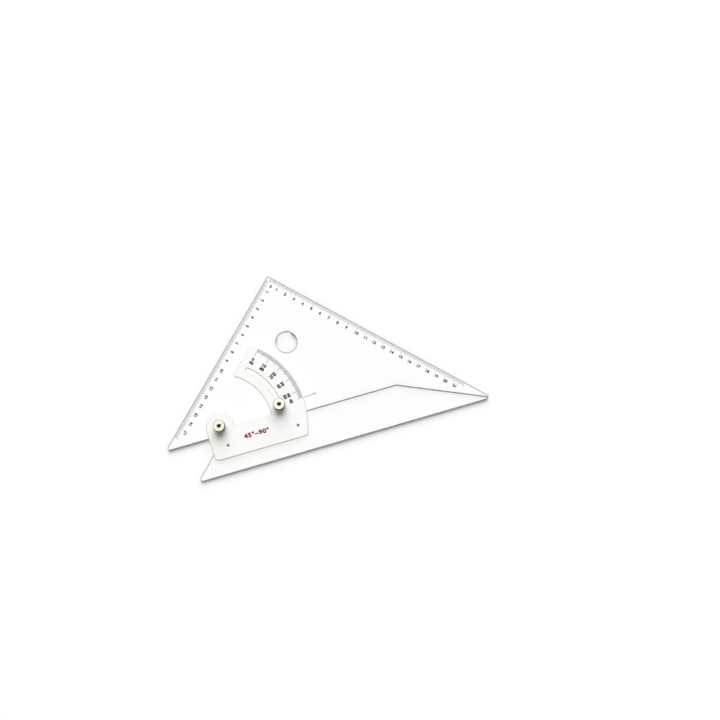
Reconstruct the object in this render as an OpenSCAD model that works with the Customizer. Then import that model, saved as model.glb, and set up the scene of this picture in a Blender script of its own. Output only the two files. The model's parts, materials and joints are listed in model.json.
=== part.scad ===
// Adjustable set square: two clear acrylic plates lying in one plane, hinged at
// a pivot screw, with a white angle scale that clamps over both of them.
// The plates rest on z = 0. Seen from above at rest, the right-angled corner is
// at the upper left, the long leg runs along +X and the short leg along -Y.

/* [Set square] */
// Length of the long leg, from the right-angled corner to the sharp tip
leg_long = 254; // [200:1:320]
// Thickness of both acrylic plates
plate_t = 3; // [2.5:0.1:5]
// Width of the ruling blade
blade_w = 38; // [32:0.5:46]
// Distance of the pivot from the split line and from the blade's end edge
pivot_inset = 8; // [6:0.5:10]
// Length of the straight split, from the short leg to where it bends to the tip
split_len = 234; // [200:1:260]
// Gap between the two plates along the split
split_gap = 0.3; // [0.1:0.05:0.8]
// How far the square opens from its 45 degree rest position
open_angle = 45; // [30:1:45]
// Rounding of the 45 degree tips
tip_r = 2; // [0.5:0.1:4]
// Rounding of the slender tip and of the right-angled corner
fine_tip_r = 0.8; // [0.4:0.1:1.5]

/* [Hang hole] */
// Diameter of the hang hole
hang_hole_d = 21.5; // [12:0.5:30]
// Distance of the hang hole from each leg's outer edge
hang_hole_inset = 49.5; // [40:0.5:60]

/* [Bracket] */
// Thickness of the bracket plate
bracket_t = 2.2; // [1.6:0.1:3.5]
// Outer radius of the angle scale, about the pivot
bracket_r = 86; // [80:0.5:92]
// Inner radius of the arm that carries the scale
arm_inner_r = 51; // [46:0.5:54]
// Radius of the round end at the pivot
boss_r = 14; // [10:0.5:16]
// Distance of the bracket's straight lower edge from the pivot
bracket_drop = 31.9; // [26:0.1:36]
// Distance of the bracket's lower corner from the pivot, along the blade
bracket_heel = 12.7; // [9:0.1:16]
// Distance of the bracket's straight upper edge below the pivot's centre line
bracket_step = 2.3; // [0:0.1:6]
// Distance of the arm's straight end from the pivot, along the long leg
arm_reach = 14.4; // [12:0.2:18]
// Rounding of the bracket's outer corners
bracket_corner_r = 5; // [2:0.5:8]
// Rounding of the arm's end and of the corner at the outer arc
arm_corner_r = 2; // [0.5:0.5:4]
// Height of the land under the bracket, where it is bonded to the blade
land_h = 0.15; // [0.05:0.05:0.5]
// Inset of that land from the edges of the blade and of the bracket
land_inset = 1; // [0.5:0.5:3]

/* [Lock slot] */
// Radius of the lock screw's circle about the pivot
lock_r = 61.5; // [58:0.1:70]
// Direction of the lock screw from the pivot, from the long leg's direction
lock_angle = 49.1; // [47:0.1:52]
// Gap between the screw and the walls of the slot
slot_clearance = 0.15; // [0.1:0.05:0.5]

/* [Bracket pins] */
// Diameter of a pin's shank
pin_d = 1.6; // [1:0.1:2.5]
// Diameter of a pin's domed head
pin_head_d = 2.2; // [1.6:0.1:4]
// Height of a pin's domed head above the bracket
pin_head_h = 0.4; // [0.2:0.1:1]
// Depth that the pins reach into the blade
pin_depth = 2; // [1:0.1:2.4]
// Radial clearance of the pins in their holes
pin_clearance = 0.02; // [0.01:0.01:0.05]
// Distance of the pins from the bracket's straight lower edge
pin_edge = 12.2; // [8:0.1:18]
// Distance of the lower pin from the bracket's lower corner, along the blade
pin_heel = 15.6; // [10:0.1:20]
// Distance of the upper pin from the far end of the bracket's arc, along the blade
pin_rim = 12.6; // [8:0.1:20]

/* [Screws and nuts] */
// Diameter of the screws' thread
screw_d = 3.5; // [3:0.1:4]
// Pitch of the screws' thread
screw_pitch = 0.6; // [0.5:0.05:0.7]
// Diameter of the countersunk heads
screw_head_d = 6.8; // [6:0.1:7.5]
// Depth of the heads below the plate's underside
screw_recess = 0.1; // [0.05:0.05:0.3]
// Width of the driver slot in a head
driver_slot_w = 0.9; // [0.6:0.1:1.2]
// Depth of the driver slot in a head
driver_slot_depth = 0.8; // [0.4:0.1:1.1]
// Radial clearance of the screws in the plate, the washers and the bracket
screw_clearance = 0.1; // [0.05:0.05:0.3]
// Radial clearance of a nut on its thread
thread_clearance = 0.05; // [0.02:0.01:0.1]
// Diameter of the washers
washer_d = 11; // [8:0.5:14]
// Thickness of the washers
washer_t = 0.5; // [0.3:0.1:1]
// Gap under the washers
washer_gap = 0.05; // [0.02:0.01:0.1]
// Diameter of the nuts over the knurl
nut_d = 11.7; // [10:0.1:14]
// Height of a nut
nut_h = 9.6; // [7:0.1:12]
// Diameter of the plain collar under the knurl
nut_collar_d = 9.6; // [8:0.1:12]
// Height of the plain collar under the knurl
nut_collar_h = 0.9; // [0.5:0.1:2]
// Chamfer at both ends of the knurl
nut_chamfer = 0.7; // [0.3:0.1:1.2]
// Number of ridges round the knurl
knurl_ridges = 40; // [24:1:60]
// Depth of the grooves between the ridges
knurl_depth = 0.35; // [0.1:0.05:0.6]
// Depth from the top of a nut to the end of the screw in it
screw_end_depth = 3; // [1:0.1:4]
// Diameter of the countersink in the top of a nut
nut_mouth_d = 4.6; // [4.2:0.1:6]
// Direction of the driver slot in the pivot screw
pivot_driver_angle = 20; // [-90:5:90]
// Direction of the driver slot in the lock screw
lock_driver_angle = -35; // [-90:5:90]

/* [Hidden] */
$fn = 96;
arc_steps = 180; // facets of the bracket's arcs about the pivot
dome_steps = 6; // facets from a pin head's rim to its top

// Corner frame: the right-angled corner is at (0, 0), the long leg runs to
// (leg_long, 0) and the short leg to (0, -leg_short).
leg_short = leg_long - blade_w * sqrt(2);
pivot_y = pivot_inset + blade_w - leg_short;
pivot_x = leg_short - pivot_inset * sqrt(2) + pivot_y;
end_edge_x = pivot_x + pivot_inset;
bend = [split_len / sqrt(2), split_len / sqrt(2) - leg_short];
tip = [leg_long, 0];
pivot = [pivot_x, pivot_y];
lock = pivot + lock_r * [cos(lock_angle), sin(lock_angle)];
pin_near = pin_heel - bracket_heel;
pin_far = bracket_r - pin_rim;
pin_drop = bracket_drop - pin_edge;

// Levels, from the surface that the plates lie on
bracket_z = plate_t + land_h;
bracket_top = bracket_z + bracket_t;
washer_z = bracket_top + washer_gap;
nut_z = washer_z + washer_t;
nut_top = nut_z + nut_h;
screw_end_z = nut_top - screw_end_depth;

screw_r = screw_d / 2;
screw_hole_r = screw_r + screw_clearance;
head_r = screw_head_d / 2;
head_cone_h = head_r - screw_r;
slot_r = screw_r + slot_clearance;
nut_bore_r = screw_r + thread_clearance;
mouth_depth = nut_mouth_d / 2 - nut_bore_r;
cut = 1; // overshoot of a solid past the faces that it cuts or joins
cross = 0.02; // how far a rounding stands out, so that it crosses the side it runs into

function unit(v) = v / norm(v);
function toward(angle) = [cos(angle), sin(angle)];
function cross2(a, b) = a[0] * b[1] - a[1] * b[0];

// Arc that rounds the corner at q, between its neighbours p and s, to radius r.
// Its centre is on the corner's bisector and it ends where it touches the sides.
function corner_arc(p, q, s, r, steps = 8) =
    let (a = unit(p - q), b = unit(s - q))
    let (half = acos(a * b) / 2)
    let (centre = q + unit(a + b) * r / sin(half))
    let (from = q + a * r / tan(half) - centre)
    let (to = q + b * r / tan(half) - centre)
    let (start = atan2(from[1], from[0]))
    let (turn = atan2(cross2(from, to), from * to))
    [for (i = [0:steps]) centre + r * toward(start + turn * i / steps)];

// The outline's points, with each corner rounded to its own radius, 0 for sharp
function rounded(points, radii) =
    let (n = len(points))
    [for (i = [0:n - 1])
        each radii[i] == 0
            ? [points[i]]
            : corner_arc(points[(i + n - 1) % n], points[i], points[(i + 1) % n], radii[i])];

// Point where the line through p along a meets the line through q along b
function crossing(p, a, q, b) = p + a * cross2(q - p, b) / cross2(a, b);

// Main plate: right angle, slender tip, bend of the split, short leg's tip
main_points = rounded([[0, 0], tip, bend, [0, -leg_short]], [fine_tip_r, fine_tip_r, 0, tip_r]);

// Blade: its split sides are the main plate's, moved out by the gap
split_dir = toward(45);
tip_dir = unit(tip - bend);
split_start = [0, -leg_short] + split_gap * toward(-45);
tip_side_start = bend + split_gap * [tip_dir[1], -tip_dir[0]];
blade_end_x = end_edge_x + split_gap;
blade_bend = crossing(split_start, split_dir, tip_side_start, tip_dir);
blade_tip = crossing(tip_side_start, tip_dir, tip, split_dir);
blade_heel = crossing(split_start, split_dir, [blade_end_x, 0], [0, 1]);
blade_toe = crossing(tip, split_dir, [blade_end_x, 0], [0, 1]);
blade_points = rounded([blade_heel, blade_bend, blade_tip, blade_toe], [0, 0, fine_tip_r, tip_r]);

// The part's origin is the middle of the plates' bounding box, on the resting plane.
box_x = max([for (p = concat(main_points, blade_points)) p[0]]);
box_y = min([for (p = blade_points) p[1]]);
origin = [box_x / 2, box_y / 2];

// Draws its children in the part's own frame, from the corner frame.
module placed() {
    translate([-origin[0], -origin[1], 0]) children();
}

module at(point, z = 0) {
    translate([point[0], point[1], z]) children();
}

// Directions of the blade: u from the pivot towards its tip, v towards the main plate
module along_blade() {
    at(pivot) rotate(45) children();
}

// Hole for a flush countersunk screw, from the plate's underside.
module countersink() {
    at([0, 0], -cut) cylinder(h = plate_t + 2 * cut, r = screw_hole_r);
    at([0, 0], screw_recess - cut) cylinder(h = cut + head_cone_h, r1 = head_r + cut, r2 = screw_r);
}

module main_square() {
    color([0.93, 0.95, 0.97, 0.55]) placed() difference() {
        linear_extrude(plate_t) polygon(main_points);
        at([hang_hole_inset, -hang_hole_inset], -cut) cylinder(h = plate_t + 2 * cut, d = hang_hole_d);
        at(pivot) countersink();
        at(lock) countersink();
    }
}

// Places its children at both bracket pins.
module at_pin(along) {
    along_blade() at([along, -pin_drop]) children();
}

module blade() {
    color([0.93, 0.95, 0.97, 0.55]) placed() difference() {
        linear_extrude(plate_t) polygon(blade_points);
        for (along = [pin_near, pin_far])
            at_pin(along) at([0, 0], plate_t - pin_depth)
                cylinder(h = pin_depth + cut, r = pin_d / 2 + pin_clearance);
    }
}

// Removes the sharp corner of an outline outside a circle of radius r at centre.
// a and b are the points where that circle touches the two sides.
module round_off(centre, a, corner, b, r) {
    difference() {
        polygon([centre, a, corner + unit(corner - centre), b]);
        at(centre) circle(r + cross);
    }
}

// Band between two radii about the pivot, from one direction to another.
module arc_band(r_in, r_out, from, to) {
    reach = r_out / cos((to - from) / 2) + cut;
    intersection() {
        difference() {
            circle(r_out, $fn = arc_steps);
            circle(r_in, $fn = arc_steps);
        }
        polygon([[0, 0], reach * toward(from), reach * toward((from + to) / 2), reach * toward(to)]);
    }
}

// Slot that lets the bracket pass the lock screw over the whole opening angle.
module lock_slot() {
    arc_band(lock_r - slot_r, lock_r + slot_r, lock_angle, lock_angle + open_angle);
    for (angle = [lock_angle, lock_angle + open_angle])
        at(lock_r * toward(angle)) circle(slot_r + cross);
}

// Arm that carries the scale: a band that ends at a straight side.
module arm_outline() {
    r = arm_corner_r;
    side = r - arm_reach;
    outer = [side, sqrt(pow(bracket_r - r, 2) - side * side)];
    inner = [side, sqrt(pow(arm_inner_r + r, 2) - side * side)];
    difference() {
        intersection() {
            difference() {
                circle(bracket_r, $fn = arc_steps);
                circle(arm_inner_r, $fn = arc_steps);
            }
            polygon([[-arm_reach, 0], [-arm_reach, bracket_r], [bracket_r, bracket_r], [bracket_r, 0]]);
        }
        rotate(45) translate([-bracket_r, -bracket_r - bracket_step - cut])
            square([2 * bracket_r, bracket_r]);
        round_off(outer, unit(outer) * bracket_r,
                  [-arm_reach, sqrt(pow(bracket_r, 2) - pow(arm_reach, 2))],
                  [-arm_reach, outer[1]], r);
        round_off(inner, unit(inner) * arm_inner_r,
                  [-arm_reach, sqrt(pow(arm_inner_r, 2) - pow(arm_reach, 2))],
                  [-arm_reach, inner[1]], r);
    }
}

// Base over the blade, between its heel corner and the outer arc.
module base_outline() {
    r = arm_corner_r;
    low = -bracket_drop;
    centre = [sqrt(pow(bracket_r - r, 2) - pow(low + r, 2)), low + r];
    corners = [[cross - boss_r, 0], [-bracket_heel, low],
               [bracket_r, low], [bracket_r, -bracket_step], [0, -bracket_step]];
    difference() {
        intersection() {
            circle(bracket_r, $fn = arc_steps);
            polygon(rounded(corners, [0, bracket_corner_r, 0, 0, 0]));
        }
        round_off(centre, unit(centre) * bracket_r,
                  [sqrt(pow(bracket_r, 2) - low * low), low],
                  [centre[0], low], r);
    }
}

// Land that the bracket is bonded by, set in from the blade's and its own edges.
module land_outline() {
    edge = pivot_inset + split_gap + land_inset;
    left = land_inset - bracket_heel;
    low = land_inset - bracket_drop;
    corners = [[edge * (sqrt(2) - 1), -edge], [left, left - edge * sqrt(2)], [left, low],
               [bracket_r, low], [bracket_r, -edge]];
    intersection() {
        circle(bracket_r - land_inset, $fn = arc_steps);
        polygon(rounded(corners, [0, 0, bracket_corner_r - land_inset, 0, 0]));
    }
}

module bracket_outline() {
    arm_outline();
    rotate(45) base_outline();
    circle(boss_r);
}

module protractor_bracket() {
    color([0.98, 0.98, 0.96]) placed() difference() {
        at(pivot) union() {
            at([0, 0], bracket_z) linear_extrude(bracket_t) bracket_outline();
            at([0, 0], plate_t) linear_extrude(land_h + cut) rotate(45) land_outline();
        }
        at(pivot) cylinder(h = nut_z, r = screw_hole_r);
        at(pivot) linear_extrude(nut_z) lock_slot();
        for (along = [pin_near, pin_far])
            at_pin(along) cylinder(h = nut_z, r = pin_d / 2 + pin_clearance);
    }
}

// Pin with a low domed head: half an ellipse over the head's width.
module bracket_pin(along) {
    foot = plate_t - pin_depth;
    dome = [for (i = [0:dome_steps], rise = 90 * i / dome_steps)
        [pin_head_d / 2 * cos(rise), bracket_top + pin_head_h * sin(rise)]];
    color([0.62, 0.62, 0.6]) placed() at_pin(along)
        rotate_extrude() polygon(concat([[0, foot], [pin_d / 2, foot], [pin_d / 2, bracket_top]], dome));
}

module lower_bracket_pin() {
    bracket_pin(pin_near);
}

module upper_bracket_pin() {
    bracket_pin(pin_far);
}

// Countersunk screw: flat slotted head, cone, shank and a chamfered end.
module countersunk_screw() {
    top = screw_end_z;
    lead = screw_pitch / 2;
    color([0.72, 0.71, 0.66]) difference() {
        rotate_extrude() polygon([[0, screw_recess], [head_r, screw_recess],
                                  [screw_r, screw_recess + head_cone_h],
                                  [screw_r, top - lead], [screw_r - lead, top], [0, top]]);
        translate([-head_r, -driver_slot_w / 2, screw_recess - cut])
            cube([2 * head_r, driver_slot_w, driver_slot_depth + cut]);
    }
}

module pivot_screw() {
    placed() at(pivot) rotate(pivot_driver_angle) countersunk_screw();
}

module lock_screw() {
    placed() at(lock) rotate(lock_driver_angle) countersunk_screw();
}

module washer() {
    color([0.9, 0.9, 0.88, 0.6]) at([0, 0], washer_z) difference() {
        cylinder(h = washer_t, d = washer_d);
        at([0, 0], -cut) cylinder(h = washer_t + 2 * cut, r = screw_hole_r);
    }
}

module pivot_washer() {
    placed() at(pivot) washer();
}

module lock_washer() {
    placed() at(lock) washer();
}

// Straight knurl: ridges whose crests and grooves are points on two circles.
function knurl_points(r) =
    [for (i = [0:2 * knurl_ridges - 1])
        (r - (i % 2) * knurl_depth) * toward(180 * i / knurl_ridges)];

// Thumb nut: a chamfered knurled barrel on a plain collar, bored for the thread.
module thumb_nut() {
    r = nut_d / 2;
    c = nut_chamfer;
    color([0.83, 0.8, 0.68]) at([0, 0], nut_z) difference() {
        union() {
            cylinder(h = nut_collar_h + cut, d = nut_collar_d);
            intersection() {
                at([0, 0], nut_collar_h) linear_extrude(nut_h - nut_collar_h) polygon(knurl_points(r));
                rotate_extrude() polygon([[0, nut_collar_h], [r - c, nut_collar_h],
                                          [r + c, nut_collar_h + 2 * c], [r + c, nut_h - 2 * c],
                                          [r - c, nut_h], [0, nut_h]]);
            }
        }
        at([0, 0], -cut) cylinder(h = nut_h + 2 * cut, r = nut_bore_r);
        at([0, 0], nut_h - mouth_depth)
            cylinder(h = mouth_depth + cut, r1 = nut_bore_r, r2 = nut_bore_r + mouth_depth + cut);
    }
}

module pivot_nut() {
    placed() at(pivot) thumb_nut();
}

module lock_nut() {
    placed() at(lock) thumb_nut();
}

main_square();
blade();
protractor_bracket();
lower_bracket_pin();
upper_bracket_pin();
pivot_screw();
pivot_washer();
pivot_nut();
lock_screw();
lock_washer();
lock_nut();
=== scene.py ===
"""Looks of an adjustable set square: clear acrylic plates, a white angle scale and plated thumb nuts."""

import json
from math import cos, pi, radians, sin, sqrt, tau

import bmesh
import bpy
import numpy as np
from bpy.props import FloatProperty, FloatVectorProperty, IntProperty, PointerProperty
from mathutils import Matrix, Vector


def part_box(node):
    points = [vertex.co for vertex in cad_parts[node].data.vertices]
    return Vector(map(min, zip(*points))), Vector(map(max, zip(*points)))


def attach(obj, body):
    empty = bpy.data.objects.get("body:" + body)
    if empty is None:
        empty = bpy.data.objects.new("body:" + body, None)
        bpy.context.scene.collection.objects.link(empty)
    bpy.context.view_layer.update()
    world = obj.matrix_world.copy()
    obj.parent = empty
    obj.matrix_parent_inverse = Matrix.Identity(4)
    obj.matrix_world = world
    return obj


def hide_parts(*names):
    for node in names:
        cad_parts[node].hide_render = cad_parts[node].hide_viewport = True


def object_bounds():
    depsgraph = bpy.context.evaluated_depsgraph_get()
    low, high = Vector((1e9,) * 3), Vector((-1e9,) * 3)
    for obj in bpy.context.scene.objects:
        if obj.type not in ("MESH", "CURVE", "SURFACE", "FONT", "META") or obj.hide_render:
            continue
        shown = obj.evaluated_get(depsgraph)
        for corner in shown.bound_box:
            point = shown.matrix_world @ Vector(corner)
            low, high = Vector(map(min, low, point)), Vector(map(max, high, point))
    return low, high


bl_info = {
    "name": "Adjustable set square",
    "version": (1, 0, 0),
    "blender": (4, 5, 0),
    "location": "3D View > Sidebar > Set square",
    "description": "Builds the finish, print and hardware of an adjustable set square",
    "category": "Object",
}

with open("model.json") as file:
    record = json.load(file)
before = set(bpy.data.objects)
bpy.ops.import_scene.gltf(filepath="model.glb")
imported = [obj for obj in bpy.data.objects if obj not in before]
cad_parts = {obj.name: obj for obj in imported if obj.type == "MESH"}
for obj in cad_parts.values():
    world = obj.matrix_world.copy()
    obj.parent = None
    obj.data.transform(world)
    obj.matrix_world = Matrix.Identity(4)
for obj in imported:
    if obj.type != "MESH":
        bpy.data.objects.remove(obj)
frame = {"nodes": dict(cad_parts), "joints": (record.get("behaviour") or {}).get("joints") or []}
CAD_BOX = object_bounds()
MM = 0.001

# Places that the frame gives: the right-angled corner, the pivot, the lock and the sheets' faces
MAIN_LOW, MAIN_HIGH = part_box("main_square")
BRACKET_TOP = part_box("protractor_bracket")[1].z
CORNER = np.array([MAIN_LOW.x, MAIN_HIGH.y])
PLATE_TOP = MAIN_HIGH.z
UNDERSIDE = MAIN_LOW.z
JOINTS = {joint["name"]: joint for joint in frame["joints"]}
PIVOT = np.array(JOINTS["pivot_nut_turn"]["pos_m"][:2])
LOCK = np.array(JOINTS["lock_nut_turn"]["pos_m"][:2])

# Print
INK_SINK = 0.01 * MM  # how deep the ink is set into the sheet's face
ANGLE_STEPS_PER_DEGREE = 2
LAST_DEGREE = 45
LABELLED_DEGREES = (0, 10, 20, 30, 40, 45)
RANGE_TEXT = "45°–90°"
LEG_TURN = {"long": 0.0, "short": pi / 2}  # direction that a leg's digits are read in
DIGIT_SHIFT = {"long": (0.4 * MM, 2.1 * MM), "short": (0.0, 1.4 * MM)}  # of one digit and of two
DOT_SIDES = 24

# Glyphs, in units of the font's size
GLYPH_DEPTH = 0.1  # half thickness of a flat glyph, before it is scaled to the ink's height
GLYPH_SPACING = 1.12  # room for each glyph, as a share of its usual room
GLYPH_STEPS = 6  # steps on each curve of a glyph's outline

# Meshes
FACE, WALL, JOINT_WALL = range(3)  # material indices on a sheet
RIM_ANGLE = radians(50)  # edges sharper than this are bevelled
RIM_STEPS = 2
KNURL_STEPS = 5  # rings up a nut's knurl
RIDGE_STEPS = 8  # points round each ridge of the knurl
THREAD_STEPS = 6  # rings on each turn of a thread
SCREW_SIDES = 64
WASHER_SIDES = 96
PIN_SIDES = 48
TURNED_SHARP = radians(35)  # edges sharper than this stay sharp on nuts and screws
ROUNDED_SHARP = radians(40)  # and on washers and pins

ACRYLIC_IOR = 1.49
FLOOR_REACH = 30.0  # metres from the middle to the floor's sides
FLOOR_GAP = 0.02 * MM  # between the part and the floor


def srgb(hex_colour):
    """Linear red, green and blue of an sRGB hex colour."""
    parts = [int(hex_colour[i:i + 2], 16) / 255 for i in (1, 3, 5)]
    return tuple(c / 12.92 if c <= 0.04045 else ((c + 0.055) / 1.055) ** 2.4 for c in parts)


def opaque(colour):
    """Red, green, blue and a full alpha."""
    return (*colour, 1.0)


# ---------------- settings

def length_setting(name, description, millimetres):
    """A length, with its default in millimetres."""
    return FloatProperty(name=name, description=description, default=millimetres * MM,
                         unit="LENGTH", precision=5)


def angle_setting(name, description, degrees):
    """An angle, with its default in degrees."""
    return FloatProperty(name=name, description=description, default=radians(degrees), subtype="ANGLE")


def number_setting(name, description, default):
    """A plain number of zero or more."""
    return FloatProperty(name=name, description=description, default=default, min=0.0)


def colour_setting(name, description, hex_colour):
    """A colour, with its default in sRGB hex."""
    return FloatVectorProperty(name=name, description=description, default=srgb(hex_colour),
                               subtype="COLOR", size=3, min=0.0, max=1.0)


class SetSquareSheets(bpy.types.PropertyGroup):
    """Rims and colours of the plates and of the bracket."""
    rim: length_setting("Rim", "Bevel of the clear plates' rims", 0.28)
    bracket_rim: length_setting("Bracket rim", "Bevel of the bracket's rims", 0.75)
    face_tint: colour_setting("Face", "Tint of the clear plates' faces", "#FDFDFD")
    wall_tint: colour_setting("Wall", "Tint of the plates' milled walls", "#A6A9AA")
    joint_tint: colour_setting("Joint wall", "Tint of the wall that the blade lies against", "#C6C8C9")
    # Painted shade: the rims' dark grey tint draws thin grey lines round the plates
    rim_tint: colour_setting("Rim tint", "Tint of the plates' scraped rims", "#66686A")
    white: colour_setting("White", "Brighter shade of the bracket's faces", "#FEFEFD")
    white_dull: colour_setting("Dull white", "Duller shade of the bracket's faces", "#FBFBFA")
    edge: colour_setting("Edge", "Brighter shade of the bracket's edges", "#DAD7CB")
    edge_dull: colour_setting("Dull edge", "Duller shade of the bracket's edges", "#CFCCBF")


class SetSquarePrint(bpy.types.PropertyGroup):
    """Sizes, places and colours of the print."""
    ink_height: length_setting("Ink", "Height of the ink above the sheet", 0.02)
    black: colour_setting("Black", "Colour of the scales' ink", "#0C0D10")
    red: colour_setting("Red", "Colour of the range numbers' ink", "#7E1226")
    index: colour_setting("Index", "Colour of the index line's ink", "#33262A")

    zero: length_setting("Zero", "Leg scales' zero, from the corner", 4.0)
    long_marks: IntProperty(name="Long marks", description="Last centimetre on the long leg", default=22)
    short_marks: IntProperty(name="Short marks", description="Last centimetre on the short leg", default=18)
    line: length_setting("Line", "Width of a leg scale's lines", 0.24)
    line_start: length_setting("Line start", "Start of the lines, from the edge", 0.5)
    line_end: length_setting("Line end", "End of the millimetre lines, from the edge", 3.2)
    half_end: length_setting("Half end", "End of the half centimetre lines", 4.2)
    whole_end: length_setting("Whole end", "End of the whole centimetre lines", 5.0)
    digit: length_setting("Digits", "Height of the leg scales' digits", 3.2)
    digit_inset: length_setting("Digit inset", "Middle of the digits, from the edge", 7.5)
    digit_stroke: number_setting("Digit stroke", "Thickening of the digits' strokes, in ems", 0.065)
    nought_along: length_setting("Nought along", "Middle of the nought, from the corner", 7.8)
    nought_inset: length_setting("Nought inset", "Middle of the nought, from the edge", 7.6)

    angle_zero: angle_setting("Angle zero", "Direction of the angle scale's zero from the pivot", 93.8)
    band_outer: length_setting("Band outside", "Outer radius of the angle scale's lines", 85.2)
    band_inner: length_setting("Band inside", "Inner radius of the half degree lines", 81.4)
    five_inner: length_setting("Five inside", "Inner radius of the five degree lines", 79.7)
    ten_inner: length_setting("Ten inside", "Inner radius of the ten degree lines", 77.0)
    thin_line: length_setting("Thin line", "Width of the half degree lines", 0.26)
    thick_line: length_setting("Thick line", "Width of the five and ten degree lines", 0.34)
    outer_row: length_setting("Outer row", "Radius of the outer row of angle numbers", 73.4)
    inner_row: length_setting("Inner row", "Radius of the inner row of angle numbers", 69.4)
    angle_digit: length_setting("Angle digits", "Height of the angle scale's digits", 3.45)
    angle_stroke: number_setting("Angle stroke", "Thickening of the angle digits' strokes, in ems", 0.07)

    range_along: length_setting("Range along", "Range numbers from the pivot, along the blade", 32.5)
    range_drop: length_setting("Range drop", "Range numbers from the pivot, across the blade", 15.8)
    range_digit: length_setting("Range digits", "Height of the range numbers", 5.2)
    range_stretch: number_setting("Range stretch", "Widening of the range numbers", 1.15)
    range_stroke: number_setting("Range stroke", "Thickening of the range numbers' strokes, in ems", 0.055)

    index_inner: length_setting("Index inside", "Radius at which the index line starts", 86.3)
    index_outer: length_setting("Index outside", "Radius at which the index line ends", 98.6)
    index_line: length_setting("Index line", "Width of the index line", 0.5)
    index_dot: length_setting("Index dot", "Radius of the index line's dot", 0.55)


class SetSquareHardware(bpy.types.PropertyGroup):
    """Sizes and colours of the nuts, screws, washers and pins."""
    ridges: IntProperty(name="Ridges", description="Number of ridges round a nut", default=40, min=8)
    knurl_depth: length_setting("Knurl depth", "Depth of the grooves between the ridges", 0.35)
    chamfer: length_setting("Chamfer", "Chamfer at both ends of the knurl", 0.7)
    top_land: length_setting("Top land", "Width of the level ring inside the chamfer", 0.25)
    collar_height: length_setting("Collar height", "Height of the plain collar under the knurl", 0.9)
    collar_r: length_setting("Collar", "Radius of the plain collar", 4.8)
    break_edge: length_setting("Broken edge", "Height of the collars' and heads' bevels", 0.1)
    bore_r: length_setting("Bore", "Radius of a nut's bore, inside its thread", 1.8)
    mouth_r: length_setting("Mouth", "Radius of the countersunk mouth of a nut", 2.3)
    pitch: length_setting("Pitch", "Pitch of the threads", 0.6)
    nut_groove: length_setting("Nut groove", "Depth of the thread in a nut", 0.25)
    screw_groove: length_setting("Screw groove", "Depth of the thread on a screw", 0.3)
    shank_r: length_setting("Shank", "Radius of a screw over its thread", 1.75)
    head_bevel: length_setting("Head bevel", "Width of the bevel round the screw heads", 0.15)
    driver_width: length_setting("Driver slot", "Width of the driver slots", 0.9)
    driver_depth: length_setting("Driver depth", "Depth of the driver slots", 0.8)
    pivot_driver: angle_setting("Pivot slot", "Direction of the pivot screw's driver slot", 20)
    lock_driver: angle_setting("Lock slot", "Direction of the lock screw's driver slot", -35)
    washer_hole_r: length_setting("Washer hole", "Radius of the washers' hole", 1.86)
    washer_rim: length_setting("Washer rim", "Rounding of the washers' outer rim", 0.12)
    pin_shank_r: length_setting("Pin shank", "Radius of the pins' shank", 0.8)
    plating: colour_setting("Plating", "Brighter shade of the nuts' plating", "#E6E3D6")
    plating_dull: colour_setting("Dull plating", "Duller shade of the nuts' plating", "#DDD8C5")
    # Painted shade: the nuts' dark knurled side, and the darker colour deep in the knurl's grooves
    nut_side: colour_setting("Nut side", "Colour of the nuts' knurled side", "#857C60")
    grime: colour_setting("Groove_shade", "Colour of the dirt in the knurl", "#2B2517")
    screw: colour_setting("Screw", "Brighter shade of the screws", "#3A3834")
    screw_dull: colour_setting("Dull screw", "Duller shade of the screws", "#242320")
    pin: colour_setting("Pin", "Brighter shade of the pins", "#6A6A68")
    pin_dull: colour_setting("Dull pin", "Duller shade of the pins", "#50504E")
    nylon: colour_setting("Nylon", "Colour of the washers", "#EFEDE4")


class SetSquareStage(bpy.types.PropertyGroup):
    """Camera, lamps and floor."""
    lens: number_setting("Lens", "Focal length on a 36 mm sensor, in millimetres", 50.0)
    azimuth: angle_setting("Azimuth", "Direction from the target to the camera", -66.7)
    elevation: angle_setting("Elevation", "Height angle of the camera", 79.9)
    roll: angle_setting("Roll", "Turn of the camera about its view", 5.46)
    distance: length_setting("Distance", "Distance from the target to the camera", 992.5)
    target_x: length_setting("Target X", "Target from the corner, along the long leg", 122.06)
    target_y: length_setting("Target Y", "Target from the corner, across the long leg", -29.75)
    sky: number_setting("Sky", "Light of the even surroundings", 0.22)
    key: number_setting("Key", "Light of the soft key lamp", 3.6)
    key_azimuth: angle_setting("Key azimuth", "Direction towards the key lamp", 120)
    key_height: angle_setting("Key height", "Height angle of the key lamp", 41)
    key_spread: angle_setting("Key spread", "Width of the key lamp, seen from the part", 58)
    floor: colour_setting("Floor", "Colour of the floor", "#F7F7F7")
    floor_lift: number_setting("Floor lift", "Glow of the floor where it is seen", 0.1)


# ---------------- meshes

def mesh_from(name, points, faces):
    """A mesh from an array of points and a list of faces."""
    mesh = bpy.data.meshes.new(name)
    mesh.from_pydata(points, [], faces)
    mesh.update()
    return mesh


def merged(name, parts):
    """One mesh from several pairs of points and faces."""
    points = []
    faces = []
    base = 0
    for part_points, part_faces in parts:
        points.append(part_points)
        faces += [[base + index for index in face] for face in part_faces]
        base += len(part_points)
    return mesh_from(name, np.vstack(points), faces)


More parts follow.
